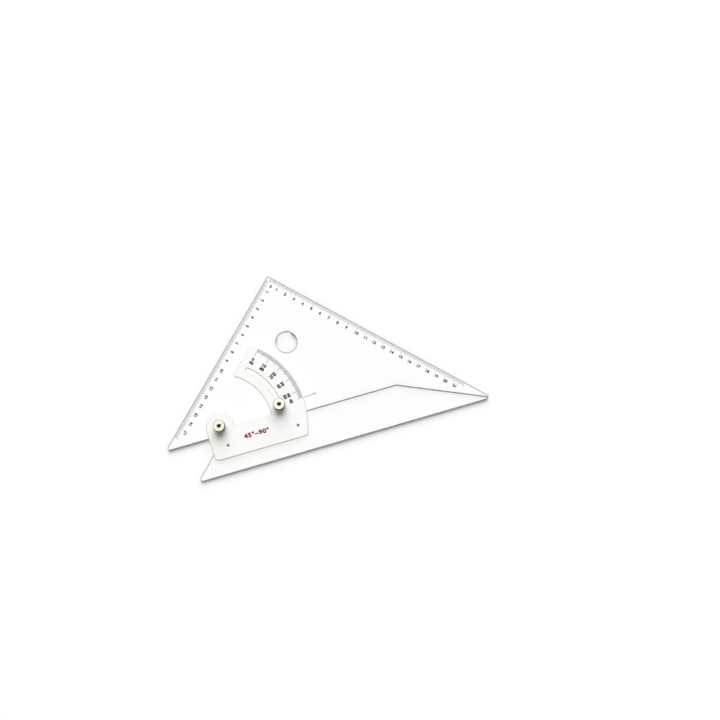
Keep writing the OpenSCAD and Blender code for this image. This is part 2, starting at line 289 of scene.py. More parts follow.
def bars(starts, ends, widths, levels):
    """Points and faces of upright boxes, one from each start to each end, between two heights.

    With n = (-ty, tx) across the unit direction t of a box of width w, its corners are at p - n w / 2 and
    p + n w / 2 for both of its ends p.
    """
    starts = np.asarray(starts, float)
    ends = np.asarray(ends, float)
    along = ends - starts
    along /= np.linalg.norm(along, axis=1)[:, None]
    aside = np.stack([-along[:, 1], along[:, 0]], -1) * np.asarray(widths)[:, None] / 2
    flat = np.stack([starts - aside, ends - aside, ends + aside, starts + aside], 1)
    layers = [np.concatenate([flat, np.full(flat.shape[:2] + (1,), level)], -1) for level in levels]
    points = np.concatenate(layers, 1).reshape(-1, 3)
    box = np.array([[3, 2, 1, 0], [4, 5, 6, 7], [0, 1, 5, 4], [1, 2, 6, 5], [2, 3, 7, 6], [3, 0, 4, 7]])
    faces = box[None] + 8 * np.arange(len(starts))[:, None, None]
    return points, faces.reshape(-1, 4).tolist()


def disc(centre, radius, levels):
    """Points and faces of a flat disc: centre + radius (cos a, sin a) at each of two heights."""
    turn = np.arange(DOT_SIDES) * tau / DOT_SIDES
    ring = centre + radius * np.stack([np.cos(turn), np.sin(turn)], -1)
    points = np.vstack([np.column_stack([ring, np.full(DOT_SIDES, level)]) for level in levels])
    j = np.arange(DOT_SIDES)
    k = (j + 1) % DOT_SIDES
    sides = np.stack([j, k, k + DOT_SIDES, j + DOT_SIDES], -1)
    return points, [j[::-1].tolist(), (j + DOT_SIDES).tolist(), *sides.tolist()]


def numeral(text, height, place, turn, levels, stroke, stretch=1.0):
    """Points and faces of one printed label, centred on place and turned by an angle.

    The glyphs are set upright, scaled so that the label has the given height, and moved as
    x' = place + R(turn) x. A bevel of the outline, stroke wide in ems, thickens them. The glyphs' own
    thickness is scaled to the ink's two heights.
    """
    curve = bpy.data.curves.new("label", "FONT")
    curve.body = text
    curve.extrude = GLYPH_DEPTH
    curve.space_character = GLYPH_SPACING
    curve.resolution_u = GLYPH_STEPS
    curve.bevel_depth = stroke
    curve.bevel_resolution = 0
    holder = bpy.data.objects.new("label", curve)
    bpy.context.scene.collection.objects.link(holder)
    depsgraph = bpy.context.evaluated_depsgraph_get()
    mesh = bpy.data.meshes.new_from_object(holder.evaluated_get(depsgraph))
    points = np.empty(len(mesh.vertices) * 3, np.float32)
    mesh.vertices.foreach_get("co", points)
    points = points.reshape(-1, 3).astype(float)
    faces = [list(face.vertices) for face in mesh.polygons]
    bpy.data.objects.remove(holder)
    bpy.data.meshes.remove(mesh)
    bpy.data.curves.remove(curve)
    middle = (points.max(0) + points.min(0)) / 2
    size = np.ptp(points, axis=0)
    scale = height / size[1]
    x, y = ((points[:, :2] - middle[:2]) * [scale * stretch, scale]).T
    turned = np.stack([x * cos(turn) - y * sin(turn), x * sin(turn) + y * cos(turn)], -1)
    low, high = levels
    level = low + (high - low) * (points[:, 2] - points[:, 2].min()) / size[2]
    return np.column_stack([turned + place, level]), faces


def revolved(profile, centre, segments, relief=None):
    """Rings of a surface of revolution about a vertical axis through centre.

    Point j of ring i is at centre + (R cos a, R sin a, z) with a = 2 pi j / segments. Row i of the profile
    gives r and z, and R is r plus relief(a, r, z).
    """
    angle = (np.arange(segments) * tau / segments)[None, :]
    base = profile[:, :1]
    height = profile[:, 1:]
    radius = base + np.zeros(segments)
    if relief is not None:
        radius = radius + relief(angle, base, height)
    return np.stack([
        centre[0] + radius * np.cos(angle),
        centre[1] + radius * np.sin(angle),
        height + np.zeros(segments)], -1)


def ring_faces(rings, segments):
    """Quads between consecutive rings, facing out when the profile runs upwards outside."""
    i, j = np.meshgrid(np.arange(rings - 1), np.arange(segments), indexing="ij")
    k = (j + 1) % segments
    corners = [i * segments + j, i * segments + k, (i + 1) * segments + k, (i + 1) * segments + j]
    return np.stack(corners, -1).reshape(-1, 4).tolist()


def pole_mesh(name, rings):
    """A closed mesh from rings, of which the first and the last are the poles on the axis."""
    inner = rings[1:-1]
    count, segments = inner.shape[:2]
    points = np.vstack([inner.reshape(-1, 3), rings[0, 0], rings[-1, 0]])
    low_pole = np.full(segments, count * segments)
    j = np.arange(segments)
    k = (j + 1) % segments
    last = (count - 1) * segments
    faces = ring_faces(count, segments)
    faces += np.stack([k, j, low_pole], -1).tolist()
    faces += np.stack([last + j, last + k, low_pole + 1], -1).tolist()
    return mesh_from(name, points, faces)


def tube_mesh(name, rings):
    """A closed mesh from rings, of which the last joins the first, as on a washer or a bored nut."""
    count, segments = rings.shape[:2]
    j = np.arange(segments)
    k = (j + 1) % segments
    last = (count - 1) * segments
    seam = np.stack([last + j, last + k, k, j], -1).tolist()
    return mesh_from(name, rings.reshape(-1, 3), ring_faces(count, segments) + seam)


def thread_relief(angle, height, pitch, depth, low, high):
    """Helical V thread between two heights: depth |2 f - 1|, where f is the part of z / pitch - a / 2 pi
    that is left over a whole number.
    """
    phase = (height / pitch - angle / tau) % 1.0
    return depth * np.abs(2 * phase - 1) * ((height > low) & (height < high))


# ---------------- putting pieces in place

def put_piece(name, mesh, materials, body):
    """Links a mesh as a piece that rides on a body and takes its finish from a slot."""
    piece = bpy.data.objects.new(name, mesh)
    bpy.context.scene.collection.objects.link(piece)
    for material in materials:
        mesh.materials.append(material)
    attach(piece, body)
    return piece


def put_turned(node, made, mesh, sharp, material, body):
    """Shades a mesh smoothly, but for edges sharper than an angle, and puts it in the place of its node."""
    mesh.polygons.foreach_set("use_smooth", np.ones(len(mesh.polygons), bool))
    mesh.set_sharp_from_angle(angle=sharp)
    piece = put_piece(f"{node}_{made}", mesh, (material,), body)
    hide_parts(node)


def mark_joint_wall(work):
    """Gives the wall that the blade lies against, which starts at the pivot, the joint wall's material."""
    parts = [*work.verts, *work.edges, *work.faces]
    bmesh.ops.bisect_plane(work, geom=parts, plane_co=(PIVOT[0], 0, 0), plane_no=(1, 0, 0))
    for face in work.faces:
        towards_blade = face.material_index == WALL and face.normal.x - face.normal.y > 1.0
        if towards_blade and face.calc_center_median().x > PIVOT[0]:
            face.material_index = JOINT_WALL


def put_sheet(node, name, bevel, materials, body):
    """Puts a finished sheet in the place of its CAD node, with its facets merged and its rims bevelled.

    The faces take the first material, the walls the second and the bevels the last. A third material
    of four is for the wall of the joint.
    """
    work = bmesh.new()
    work.from_mesh(frame["nodes"][node].data)
    bmesh.ops.remove_doubles(work, verts=work.verts, dist=1e-6)
    bmesh.ops.dissolve_limit(work, angle_limit=radians(1), verts=work.verts, edges=work.edges)
    for face in work.faces:
        face.material_index = FACE if abs(face.normal.z) > 0.5 else WALL
    rim_index = len(materials) - 1
    if rim_index > JOINT_WALL:
        mark_joint_wall(work)
    mesh = bpy.data.meshes.new(name)
    work.to_mesh(mesh)
    work.free()
    piece = put_piece(name, mesh, materials, body)
    rim = piece.modifiers.new("rim", "BEVEL")
    rim.width = bevel
    rim.segments = RIM_STEPS
    rim.limit_method = "ANGLE"
    rim.angle_limit = RIM_ANGLE
    rim.material = rim_index
    rim.use_clamp_overlap = False
    rim.loop_slide = False
    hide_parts(node)


# ---------------- shader nodes

def add(tree, kind, inputs=None, **attributes):
    """Adds a node and sets its attributes. An input gets a value or, where it is given a socket, a link."""
    node = tree.nodes.new(kind)
    for name, value in attributes.items():
        setattr(node, name, value)
    for name, value in (inputs or {}).items():
        if isinstance(value, bpy.types.NodeSocket):
            tree.links.new(value, node.inputs[name])
        else:
            node.inputs[name].default_value = value
    return node


def finish(surface):
    """Makes a function that builds a surface's nodes into one that gives the whole material.

    The made function takes the material's name first, in place of the tree, and then what the surface
    takes. A material is built the first time that its name is asked for.
    """
    def material_named(name, *values, **named_values):
        if name in bpy.data.materials:
            return bpy.data.materials[name]
        material = bpy.data.materials.new(name)
        material.use_nodes = True
        tree = material.node_tree
        tree.nodes.clear()
        add(tree, "ShaderNodeOutputMaterial", {"Surface": surface(tree, *values, **named_values).outputs[0]})
        return material
    return material_named


def object_place(tree, stretch=(1, 1, 1)):
    """Where a point is on its piece, in metres, with each axis stretched for a pattern."""
    place = add(tree, "ShaderNodeTexCoord").outputs["Object"]
    return add(tree, "ShaderNodeMapping", {"Vector": place, "Scale": stretch}).outputs["Vector"]


def lighting_rays(tree):
    """1 for shadow rays and for rays that gather light for a matt surface."""
    ray = add(tree, "ShaderNodeLightPath").outputs
    return add(tree, "ShaderNodeMath", {0: ray["Is Shadow Ray"], 1: ray["Is Diffuse Ray"]},
               operation="MAXIMUM").outputs["Value"]


def seeing_rays(tree):
    """1 for rays that show a surface, straight, mirrored or through glass, and 0 for those that light it."""
    ray = add(tree, "ShaderNodeLightPath").outputs
    bent = add(tree, "ShaderNodeMath", {0: ray["Is Glossy Ray"], 1: ray["Is Transmission Ray"]},
               operation="MAXIMUM")
    return add(tree, "ShaderNodeMath", {0: bent.outputs["Value"], 1: ray["Is Camera Ray"]},
               operation="MAXIMUM").outputs["Value"]


def let_pass(tree, rays, surface, passed):
    """The surface, which the given rays go through with the share passed."""
    through = add(tree, "ShaderNodeBsdfTransparent", {"Color": passed})
    return add(tree, "ShaderNodeMixShader", {0: rays, 1: surface.outputs[0], 2: through.outputs[0]})


# ---------------- finishes

@finish
def clear_sheet(tree, tint, roughness, haze, clarity, leaving, entering):
    """Cast acrylic (PMMA) sheet, with wipe marks about 1 mm wide and 7 mm long in its gloss.

    Camera rays see a refracting body. The sheet lets light through to the paper under it, so lighting
    rays pass too: by the share leaving where light would come out of the surface, and by the share
    entering where it would go in.
    """
    wipes = add(tree, "ShaderNodeTexNoise",
                {"Vector": object_place(tree, stretch=(1, 0.15, 1)), "Scale": 900.0, "Detail": 3.0})
    gloss = add(tree, "ShaderNodeMapRange",
                {"Value": wipes.outputs["Fac"], "To Min": roughness, "To Max": roughness + haze})
    passed = opaque([entering] * 3)
    if leaving != entering:
        back = add(tree, "ShaderNodeNewGeometry").outputs["Backfacing"]
        passed = add(tree, "ShaderNodeMapRange",
                     {"Value": back, "To Min": leaving, "To Max": entering}).outputs["Result"]
    body = add(tree, "ShaderNodeBsdfPrincipled",
               {"Base Color": opaque(tint), "IOR": ACRYLIC_IOR, "Transmission Weight": clarity,
                "Roughness": gloss.outputs["Result"]})
    return let_pass(tree, lighting_rays(tree), body, passed)


def acrylic_face(settings):
    """The faces keep the polish of the casting glass, so they are nearly free of haze."""
    return clear_sheet("acrylic_polished_face", settings.face_tint, roughness=0.01, haze=0.03, clarity=1.0,
                       leaving=1.0, entering=1.0)


def acrylic_wall(settings):
    """The milled walls are slightly frosted and milky.

    Light inside the sheet meets them too obliquely to come out, so the paper beside them is in shade.
    """
    return clear_sheet("acrylic_milled_wall", settings.wall_tint, roughness=0.2, haze=0.12, clarity=0.5,
                       leaving=0.08, entering=0.97)


def acrylic_joint_wall(settings):
    """The wall that the blade lies against: light goes on through it into the blade."""
    return clear_sheet("acrylic_joint_wall", settings.joint_tint, roughness=0.2, haze=0.12, clarity=0.6,
                       leaving=0.85, entering=0.97)


def acrylic_rim(settings):
    """Scraped rims, frosted more and tinted dark grey as painted shade: thin grey lines round the sheets."""
    return clear_sheet("acrylic_scraped_rim", settings.rim_tint, roughness=0.25, haze=0.12, clarity=0.35,
                       leaving=0.08, entering=0.97)


@finish
def white_acrylic(tree, bright, dull, smooth, rough):
    """Opal white cast acrylic: two shades in clouds of about 17 mm, and two roughnesses in wipe marks.

    The marks are about 1.4 mm wide and 7 mm long. Opal sheet this thin lets over half of the light
    through, so its shadow rays pass by 0.96 a side.
    """
    cloud = add(tree, "ShaderNodeTexNoise", {"Vector": object_place(tree), "Scale": 60.0, "Detail": 2.0})
    wipes = add(tree, "ShaderNodeTexNoise",
                {"Vector": object_place(tree, stretch=(0.2, 1, 1)), "Scale": 700.0, "Detail": 3.0})
    shade = add(tree, "ShaderNodeMix",
                {"Factor": cloud.outputs["Fac"], "A": opaque(bright), "B": opaque(dull)}, data_type="RGBA")
    gloss = add(tree, "ShaderNodeMapRange",
                {"Value": wipes.outputs["Fac"], "To Min": smooth, "To Max": rough})
    bump = add(tree, "ShaderNodeBump",
               {"Strength": 0.02, "Distance": 0.1 * MM, "Height": wipes.outputs["Fac"]})
    sheet = add(tree, "ShaderNodeBsdfPrincipled",
                {"Base Color": shade.outputs["Result"], "IOR": ACRYLIC_IOR,
                 "Roughness": gloss.outputs["Result"], "Normal": bump.outputs["Normal"]})
    shadow_rays = add(tree, "ShaderNodeLightPath").outputs["Is Shadow Ray"]
    return let_pass(tree, shadow_rays, sheet, (0.96, 0.96, 0.95, 1))


@finish
def printed_ink(tree, ink):
    """Screen-printed ink: matt, with the thin film that a screen leaves, uneven over about 0.4 mm."""
    film = add(tree, "ShaderNodeTexNoise", {"Vector": object_place(tree), "Scale": 2500.0, "Detail": 2.0})
    thin = [1.4 * part + 0.002 for part in ink]
    shade = add(tree, "ShaderNodeMix",
                {"Factor": film.outputs["Fac"], "A": opaque(ink), "B": opaque(thin)}, data_type="RGBA")
    gloss = add(tree, "ShaderNodeMapRange", {"Value": film.outputs["Fac"], "To Min": 0.55, "To Max": 0.75})
    return add(tree, "ShaderNodeBsdfPrincipled",
               {"Base Color": shade.outputs["Result"], "IOR": 1.5, "Specular IOR Level": 0.2,
                "Roughness": gloss.outputs["Result"]})


@finish
def plated_brass(tree, settings, centre, crest_r, top):
    """Nickel-plated brass, turned on a lathe: pale warm metal with faint rings on its end face.

    The knurled side, from just under the top down, is tinted a dark brown as painted shade, and the
    painted shade deepens from the crests' radius down to the grooves'. Lathe rings are 0.12 mm apart, drawn
    at about twice the real feed, and the plating's shade and gloss change over about 2.5 mm.
    """
    feed = 0.12 * MM
    bright_top = 0.05 * MM
    dark_below = 0.6 * MM
    groove_r = crest_r - settings.knurl_depth
    side_r = groove_r - 0.3 * MM
    place = add(tree, "ShaderNodeTexCoord").outputs["Object"]
    centred = add(tree, "ShaderNodeVectorMath", {0: place, 1: (centre[0], centre[1], 0)},
                  operation="SUBTRACT")
    flat = add(tree, "ShaderNodeVectorMath", {0: centred.outputs["Vector"], 1: (1, 1, 0)},
               operation="MULTIPLY")
    radius = add(tree, "ShaderNodeVectorMath", {0: flat.outputs["Vector"]},
                 operation="LENGTH").outputs["Value"]
    height = add(tree, "ShaderNodeSeparateXYZ", {"Vector": place}).outputs["Z"]
    # Painted shade: below a thin band at the top, the knurled side takes a dark colour
    below = add(tree, "ShaderNodeMapRange",
                {"Value": height, "From Min": top - bright_top, "From Max": top - dark_below})
    outside = add(tree, "ShaderNodeMath", {0: radius, 1: side_r}, operation="GREATER_THAN")
    side = add(tree, "ShaderNodeMath", {0: below.outputs["Result"], 1: outside.outputs["Value"]},
               operation="MULTIPLY").outputs["Value"]
    # Painted shade in the knurl: darker from the crests' radius down to the grooves'
    crest = add(tree, "ShaderNodeMapRange", {"Value": radius, "From Min": groove_r, "From Max": crest_r})
    depth = add(tree, "ShaderNodeMath", {0: 1.0, 1: crest.outputs["Result"]}, operation="SUBTRACT")
    painted_groove_shade = add(tree, "ShaderNodeMath", {0: depth.outputs["Value"], 1: side}, operation="MULTIPLY")
    patina = add(tree, "ShaderNodeTexNoise",
                 {"Vector": place, "Scale": 400.0, "Detail": 3.0}).outputs["Fac"]
    plate = add(tree, "ShaderNodeMix",
                {"Factor": patina, "A": opaque(settings.plating), "B": opaque(settings.plating_dull)},
                data_type="RGBA")
    sided = add(tree, "ShaderNodeMix",
                {"Factor": side, "A": plate.outputs["Result"], "B": opaque(settings.nut_side)},
                data_type="RGBA")
    colour = add(tree, "ShaderNodeMix",
                 {"Factor": painted_groove_shade.outputs["Value"], "A": sided.outputs["Result"],
                  "B": opaque(settings.grime)}, data_type="RGBA")
    turns = add(tree, "ShaderNodeMath", {0: radius, 1: tau / feed}, operation="MULTIPLY")
    rings = add(tree, "ShaderNodeMath", {0: turns.outputs["Value"]}, operation="SINE")
    bump = add(tree, "ShaderNodeBump",
               {"Strength": 0.12, "Distance": 0.02 * MM, "Height": rings.outputs["Value"]})
    gloss = add(tree, "ShaderNodeMapRange", {"Value": patina, "To Min": 0.22, "To Max": 0.36})
    return add(tree, "ShaderNodeBsdfPrincipled",
               {"Metallic": 1.0, "Base Color": colour.outputs["Result"],
                "Roughness": gloss.outputs["Result"], "Normal": bump.outputs["Normal"]})


@finish
def machined_steel(tree, bright, dull):
    """Steel from the machine, plain or blackened: metal whose shade and gloss change over about 0.8 mm."""
    cloud = add(tree, "ShaderNodeTexNoise", {"Vector": object_place(tree), "Scale": 1200.0, "Detail": 4.0})
    shade = add(tree, "ShaderNodeMix",
                {"Factor": cloud.outputs["Fac"], "A": opaque(bright), "B": opaque(dull)}, data_type="RGBA")
    gloss = add(tree, "ShaderNodeMapRange", {"Value": cloud.outputs["Fac"], "To Min": 0.28, "To Max": 0.45})
    return add(tree, "ShaderNodeBsdfPrincipled",
               {"Metallic": 1.0, "Base Color": shade.outputs["Result"],
                "Roughness": gloss.outputs["Result"]})


@finish
def clear_nylon(tree, tint):
    """Natural nylon: milky and translucent, with a soft moulded sheen that changes over about 2 mm."""
    cloud = add(tree, "ShaderNodeTexNoise", {"Vector": object_place(tree), "Scale": 500.0, "Detail": 2.0})
    gloss = add(tree, "ShaderNodeMapRange", {"Value": cloud.outputs["Fac"], "To Min": 0.3, "To Max": 0.42})
    return add(tree, "ShaderNodeBsdfPrincipled",
               {"Base Color": opaque(tint), "IOR": 1.53, "Transmission Weight": 0.35,
                "Roughness": gloss.outputs["Result"]})


@finish
def pale_floor(tree, colour, lift):
    """Matt paper whose own glow brings it to white for the camera, in reflections and through glass."""
    matt = add(tree, "ShaderNodeBsdfDiffuse", {"Color": opaque(colour)})
    lifted = add(tree, "ShaderNodeMath", {0: seeing_rays(tree), 1: lift}, operation="MULTIPLY")
    glow = add(tree, "ShaderNodeEmission", {"Strength": lifted.outputs["Value"]})
    return add(tree, "ShaderNodeAddShader", {0: matt.outputs[0], 1: glow.outputs[0]})


# ---------------- sheets

class SETSQUARE_OT_plates(bpy.types.Operator):
    """Makes the main plate and the ruling blade of clear acrylic with crisp, slightly frosted edges"""
    bl_idname = "setsquare.plates"
    bl_label = "Clear plates"

    def execute(self, context):
        settings = context.scene.set_square_sheets
        face = acrylic_face(settings)
        wall = acrylic_wall(settings)
        joint_wall = acrylic_joint_wall(settings)
        rim = acrylic_rim(settings)
        put_sheet("main_square", "main_plate", settings.rim, (face, wall, joint_wall, rim),
                  "square")
        put_sheet("blade", "ruling_blade", settings.rim, (face, wall, rim), "blade")
        return {"FINISHED"}


class SETSQUARE_OT_bracket(bpy.types.Operator):
    """Makes the white acrylic bracket with rounded rims"""
    bl_idname = "setsquare.bracket"
    bl_label = "Angle bracket"

    def execute(self, context):
        settings = context.scene.set_square_sheets
        face = white_acrylic("opal_acrylic_face", settings.white, settings.white_dull,
                             smooth=0.18, rough=0.3)
        edge = white_acrylic("opal_acrylic_milled_edge", settings.edge, settings.edge_dull,
                             smooth=0.5, rough=0.7)
        put_sheet("protractor_bracket", "angle_bracket", settings.bracket_rim, (face, edge),
                  "blade")
        return {"FINISHED"}


# ---------------- print

def leg_point(along, inset, leg):
    """Point on a leg: along from the corner, inset from the edge, in the part's frame."""
    along, inset = np.broadcast_arrays(np.asarray(along, float), np.asarray(inset, float))
    if leg == "long":
        return np.stack([CORNER[0] + along, CORNER[1] - inset], -1)
    return np.stack([CORNER[0] + inset, CORNER[1] - along], -1)


def around_pivot(radius, angle):
    """Point at a radius and a direction from the pivot."""
    radius, angle = np.broadcast_arrays(np.asarray(radius, float), np.asarray(angle, float))
    return np.stack([PIVOT[0] + radius * np.cos(angle), PIVOT[1] + radius * np.sin(angle)], -1)


def plate_ink(settings):
    """The two heights of the print on the plates, which is on their underside and read through them."""
    low = UNDERSIDE + INK_SINK
    return low, low + settings.ink_height


def bracket_ink(settings):
    """The two heights of the print on top of the bracket."""
    return BRACKET_TOP - INK_SINK, BRACKET_TOP + settings.ink_height


def put_leg_scale(leg, last, settings):
    """Prints the millimetre lines along a leg, longer at each half and whole centimetre, and the digits."""
    levels = plate_ink(settings)
    turn = LEG_TURN[leg]
    count = np.arange(10 * last + 1)
    along = settings.zero + count * MM
    reach = np.select([count % 10 == 0, count % 5 == 0], [settings.whole_end, settings.half_end],
                      settings.line_end)
    parts = [bars(leg_point(along, settings.line_start, leg), leg_point(along, reach, leg),
                  np.full(len(count), settings.line), levels)]
    for number in range(1, last):
        text = str(number)
        middle = settings.zero + number * 10 * MM + DIGIT_SHIFT[leg][len(text) - 1]
        place = leg_point(middle, settings.digit_inset, leg)
        parts.append(numeral(text, settings.digit, place, turn, levels, settings.digit_stroke))
    if leg == "long":
        place = leg_point(settings.nought_along, settings.nought_inset, leg)
        parts.append(numeral("0", settings.digit, place, turn, levels, settings.digit_stroke))
    name = f"{leg}_leg_scale"
    ink = printed_ink("black_scale_ink", settings.black)
    put_piece(name, merged(name, parts), (ink,), "square")


class SETSQUARE_OT_leg_scales(bpy.types.Operator):
    """Prints the centimetre scales on both legs"""
    bl_idname = "setsquare.leg_scales"
    bl_label = "Leg scales"

    def execute(self, context):
        settings = context.scene.set_square_print
        put_leg_scale("long", settings.long_marks, settings)
        put_leg_scale("short", settings.short_marks, settings)
        return {"FINISHED"}


class SETSQUARE_OT_angle_scale(bpy.types.Operator):
    """Prints the half degree scale and its two rows of numbers on the bracket"""
    bl_idname = "setsquare.angle_scale"
    bl_label = "Angle scale"

    def execute(self, context):
        settings = context.scene.set_square_print
        levels = bracket_ink(settings)
        count = np.arange(LAST_DEGREE * ANGLE_STEPS_PER_DEGREE + 1)
        angle = settings.angle_zero - np.radians(count / ANGLE_STEPS_PER_DEGREE)
        ten = count % (10 * ANGLE_STEPS_PER_DEGREE) == 0
        five = count % (5 * ANGLE_STEPS_PER_DEGREE) == 0
        inner = np.select([ten, five], [settings.ten_inner, settings.five_inner], settings.band_inner)
        width = np.where(five, settings.thick_line, settings.thin_line)
        parts = [bars(around_pivot(inner, angle), around_pivot(settings.band_outer, angle), width, levels)]
        for degree in LABELLED_DEGREES:
            direction = settings.angle_zero - radians(degree)
            rows = [(settings.outer_row, degree)]
            if degree != LAST_DEGREE:
                rows.append((settings.inner_row, 90 - degree))
            for radius, number in rows:
                parts.append(numeral(str(number), settings.angle_digit, around_pivot(radius, direction),
                                     direction - pi / 2, levels, settings.angle_stroke))
        ink = printed_ink("black_scale_ink", settings.black)
        put_piece("angle_scale", merged("angle_scale", parts), (ink,), "blade")
        return {"FINISHED"}


class SETSQUARE_OT_range_mark(bpy.types.Operator):
    """Prints the plain dark red range numbers on the bracket's base"""
    bl_idname = "setsquare.range_mark"
    bl_label = "Range mark"

    def execute(self, context):
        settings = context.scene.set_square_print
        along = settings.range_along
        drop = settings.range_drop
        place = PIVOT + np.array([along + drop, along - drop]) * sqrt(0.5)
        part = numeral(RANGE_TEXT, settings.range_digit, place, pi / 4, bracket_ink(settings),
                       settings.range_stroke, settings.range_stretch)
        ink = printed_ink("dark_red_ink", settings.red)
        put_piece("range_mark", merged("range_mark", [part]), (ink,), "blade")
        return {"FINISHED"}


class SETSQUARE_OT_index_line(bpy.types.Operator):
    """Prints the index line that the angle is read against, with its dot, on the main plate"""
    bl_idname = "setsquare.index_line"
    bl_label = "Index line"

    def execute(self, context):
        settings = context.scene.set_square_print
        levels = plate_ink(settings)
        angle = settings.angle_zero - radians(LAST_DEGREE)
        start = around_pivot(settings.index_inner, angle)
        end = around_pivot(settings.index_outer, angle)
        line = bars([start], [end], [settings.index_line], levels)
        dot = disc(end, settings.index_dot, levels)
        ink = printed_ink("index_ink", settings.index)
        put_piece("index_line", merged("index_line", [line, dot]), (ink,), "square")
        return {"FINISHED"}


# ---------------- hardware

def turned_box(node):
    """Foot, top and greatest radius of a node that is turned about an upright axis."""
    low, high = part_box(node)
    return low.z, high.z, (high.x - low.x) / 2


def nut_mesh(node, centre, settings):
    """A bored nut: collar, knurl with both chamfers, countersunk mouth and threaded bore."""
    foot, top, crest_r = turned_box(node)
    shoulder_r = crest_r - settings.chamfer
    bore_r = settings.bore_r
    knurl_low = foot + settings.collar_height
    mouth_low = top - (settings.mouth_r - bore_r)
    profile = [(bore_r, foot), (settings.collar_r - settings.break_edge, foot),
               (settings.collar_r, foot + settings.break_edge), (settings.collar_r, knurl_low),
               (shoulder_r, knurl_low)]
    knurl = np.linspace(knurl_low + settings.chamfer, top - settings.chamfer, KNURL_STEPS)
    profile += [(crest_r, z) for z in knurl]
    profile += [(shoulder_r, top), (shoulder_r - settings.top_land, top), (settings.mouth_r, top)]
    clear_of_foot = foot + 0.05 * MM
    thread = np.arange(mouth_low, clear_of_foot, -settings.pitch / THREAD_STEPS)
    profile += [(bore_r, z) for z in thread]
    near = 0.01 * MM

    def relief(angle, radius, height):
        """The ridges, -depth (1 - c^0.6) with c = (1 + cos(ridges a)) / 2, and the thread in the bore."""
        ridge = 0.5 + 0.5 * np.cos(settings.ridges * angle)
        knurled = (height > knurl_low) & (radius > crest_r - near)
        bored = radius < bore_r + near
        groove = thread_relief(angle, height, settings.pitch, settings.nut_groove, foot, top)
        return -settings.knurl_depth * (1 - ridge ** 0.6) * knurled + groove * bored

    rings = revolved(np.array(profile), centre, settings.ridges * RIDGE_STEPS, relief)
    return tube_mesh(f"{node}_turned", rings)


class SETSQUARE_OT_nuts(bpy.types.Operator):
    """Turns the two knurled thumb nuts"""
    bl_idname = "setsquare.nuts"
    bl_label = "Thumb nuts"

    def execute(self, context):
        settings = context.scene.set_square_hardware
        for node, centre in (("pivot_nut", PIVOT), ("lock_nut", LOCK)):
            top, crest_r = turned_box(node)[1:]
            metal = plated_brass(f"{node}_plated_brass", settings, centre, crest_r, top)
            put_turned(node, "turned", nut_mesh(node, centre, settings), TURNED_SHARP, metal,
                       node)
        return {"FINISHED"}


def screw_mesh(node, centre, driver, settings):
    """A countersunk screw: flat head, cone, threaded shank and chamfered end, with its driver slot cut."""
    foot, top, head_r = turned_box(node)
    root_r = settings.shank_r - settings.screw_groove
    lead = settings.pitch / 2
    thread_high = top - lead
    just_below = PLATE_TOP - 0.001 * MM
    profile = [(0, foot), (head_r - settings.head_bevel, foot), (head_r, foot + settings.break_edge),
               (settings.shank_r, foot + head_r - settings.shank_r)]
    profile += [(root_r, z) for z in np.arange(PLATE_TOP, thread_high, settings.pitch / THREAD_STEPS)]
    profile += [(settings.shank_r - lead, top), (0, top)]

    def relief(angle, radius, height):
        """The crests of the thread, over its root."""
        return thread_relief(angle, height, settings.pitch, settings.screw_groove, just_below, thread_high)

    solid = pole_mesh("solid", revolved(np.array(profile), centre, SCREW_SIDES, relief))
    overshoot = 1.0 * MM
    reach = (head_r + overshoot) * np.array([cos(driver), sin(driver)])
    slot = merged("slot", [bars([centre - reach], [centre + reach], [settings.driver_width],
                                (foot - overshoot, foot + settings.driver_depth))])
    return cut_out(solid, slot, f"{node}_turned")


def cut_out(solid, cutter, name):
    """The solid mesh without the room of the cutter mesh."""
    body, tool = [bpy.data.objects.new("part", mesh) for mesh in (solid, cutter)]
    for part in (body, tool):
        bpy.context.scene.collection.objects.link(part)
    cut = body.modifiers.new("cut", "BOOLEAN")
    cut.object = tool
    cut.operation = "DIFFERENCE"
    cut.solver = "EXACT"
    depsgraph = bpy.context.evaluated_depsgraph_get()
    made = bpy.data.meshes.new_from_object(body.evaluated_get(depsgraph))
    made.name = name
    for mesh in (solid, cutter):
        bpy.data.meshes.remove(mesh)
    return made


class SETSQUARE_OT_screws(bpy.types.Operator):
    """Turns the two countersunk screws, with their threads and driver slots"""
    bl_idname = "setsquare.screws"
    bl_label = "Screws"

    def execute(self, context):
        settings = context.scene.set_square_hardware
        steel = machined_steel("blackened_steel", settings.screw, settings.screw_dull)
        for node, centre, driver in (("pivot_screw", PIVOT, settings.pivot_driver),
                                     ("lock_screw", LOCK, settings.lock_driver)):
            put_turned(node, "turned", screw_mesh(node, centre, driver, settings), TURNED_SHARP, steel,
                       "square")
        return {"FINISHED"}


class SETSQUARE_OT_washers(bpy.types.Operator):
    """Makes the two nylon washers with rounded rims"""
    bl_idname = "setsquare.washers"
    bl_label = "Washers"

    def execute(self, context):
        settings = context.scene.set_square_hardware
        hole_r = settings.washer_hole_r
        rim = settings.washer_rim
        quarter = np.linspace(0, pi / 2, 5)
        nylon = clear_nylon("moulded_nylon", settings.nylon)
        for node, centre in (("pivot_washer", PIVOT), ("lock_washer", LOCK)):
            foot, top, outer_r = turned_box(node)
            rim_r = outer_r - rim
            lower = [(rim_r + rim * sin(t), foot + rim - rim * cos(t)) for t in quarter]
            upper = [(rim_r + rim * cos(t), top - rim + rim * sin(t)) for t in quarter]
            profile = np.array([(hole_r, foot), *lower, *upper, (hole_r, top)])
            mesh = tube_mesh(f"{node}_moulded", revolved(profile, centre, WASHER_SIDES))
            put_turned(node, "moulded", mesh, ROUNDED_SHARP, nylon, node)
        return {"FINISHED"}


